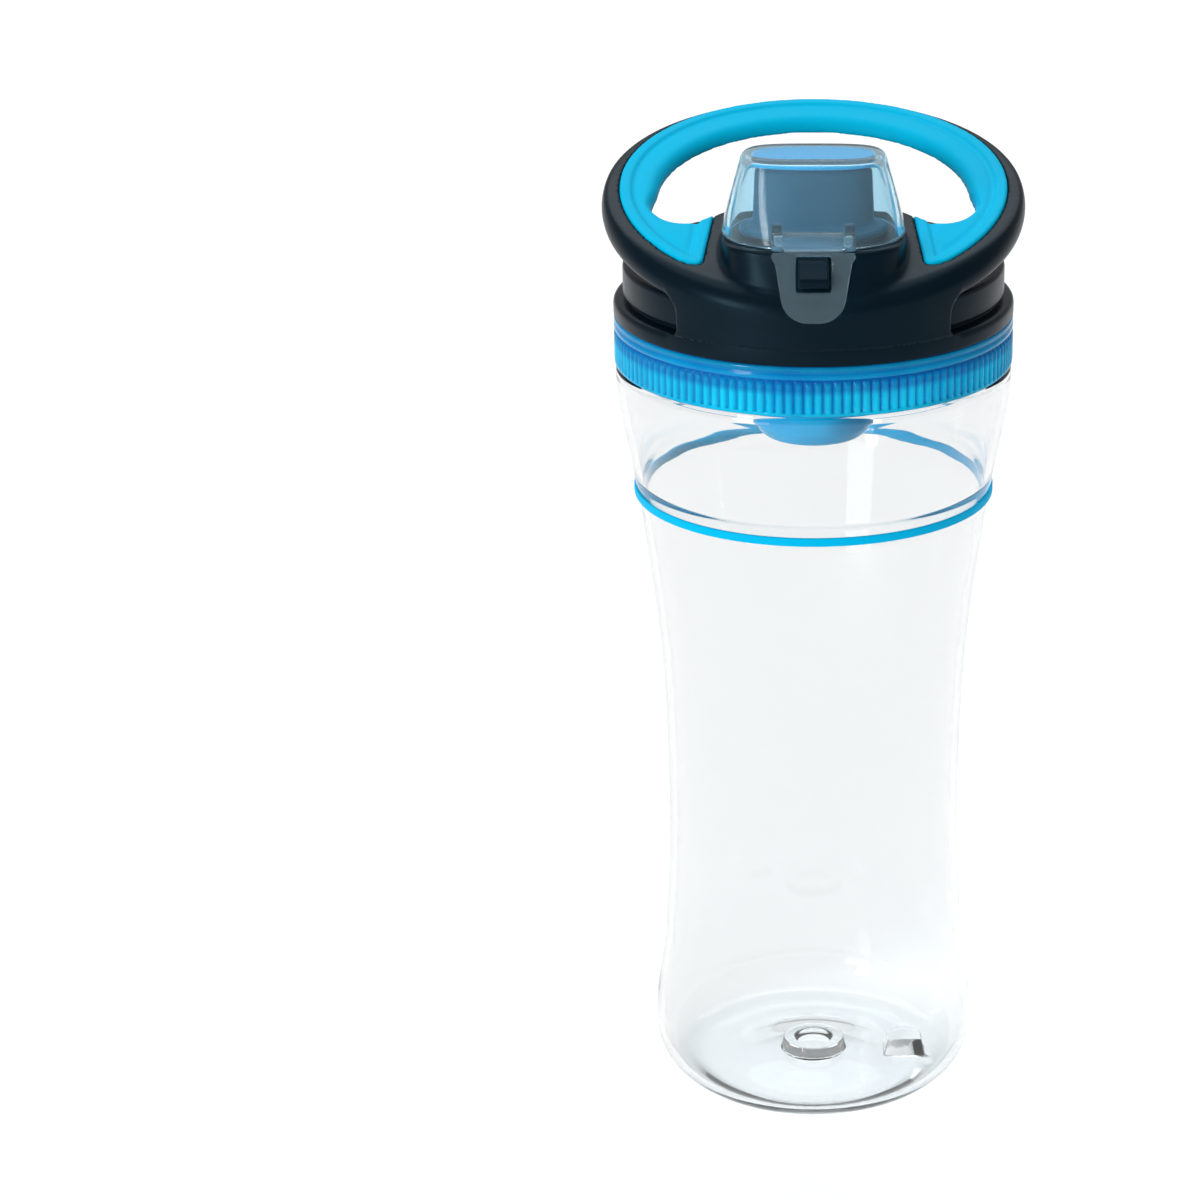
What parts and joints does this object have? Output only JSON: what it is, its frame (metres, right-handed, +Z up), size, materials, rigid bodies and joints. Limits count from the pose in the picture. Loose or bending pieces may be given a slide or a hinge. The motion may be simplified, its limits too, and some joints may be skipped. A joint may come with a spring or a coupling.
{
  "type": "sports drinking bottle",
  "caption": "Waisted clear drinking bottle with a ribbed translucent screw collar, a tilted carry-loop lid and a latched flip-up spout cover.",
  "frame": {"origin": "centre of the circle that the bottle stands on, on the surface it stands on", "axes": "+Z up along the bottle's axis; -Y towards the drinking spout, its cover and latch; +X to the right seen from the front"},
  "size_m": [0.088, 0.0892, 0.2161],
  "materials": {
    "clear_body": "clear glossy copolyester",
    "band_blue": "smooth bright blue elastomer",
    "seal_silicone": "matt translucent silicone",
    "collar_blue": "translucent blue, glossy",
    "shell_black": "fine satin black",
    "grip_cyan": "soft-touch cyan elastomer",
    "cover_frosted": "milky translucent polypropylene",
    "pin_steel": "plain"
  },
  "bodies": {
    "bottle": {"bottle_body": "clear_body", "accent_band": "band_blue"},
    "gasket_ring": {"collar_gasket": "seal_silicone"},
    "lid": {"screw_collar": "collar_blue", "vent_valve": "seal_silicone", "lid_core": "shell_black", "handle_shell": "shell_black", "handle_grip": "grip_cyan", "latch_catch": "shell_black", "mouthpiece": "shell_black", "mouthpiece_oring": "seal_silicone", "cover_hinge_pin": "pin_steel"},
    "cover": {"spout_cover": "cover_frosted", "cover_seal": "band_blue"},
    "latch": {"latch_tongue": "cover_frosted"}
  },
  "joints": [
    {"name": "lid_lift", "type": "slide", "parent": "bottle", "child": "gasket_ring", "axis": [0, 0, 1], "range_m": [0, 0.00645]},
    {"name": "lid_turn", "type": "hinge", "parent": "gasket_ring", "child": "lid", "pos_m": [0, 0, 0.1767], "axis": [0, 0, 1], "range_deg": [0, 720]},
    {"name": "cover_hinge", "type": "hinge", "parent": "lid", "child": "cover", "pos_m": [0, -0.0063, 0.2006], "axis": [-1, 0, 0], "range_deg": [0, 140], "deforming": ["latch_catch"]},
    {"name": "latch_hinge", "type": "hinge", "parent": "cover", "child": "latch", "pos_m": [0, -0.0409, 0.2023], "axis": [-1, 0, 0], "range_deg": [0, 75]}
  ],
  "couplings": [
    {"joint": "lid_lift", "follows": "lid_turn", "m_per_rad": 0.0005093}
  ]
}
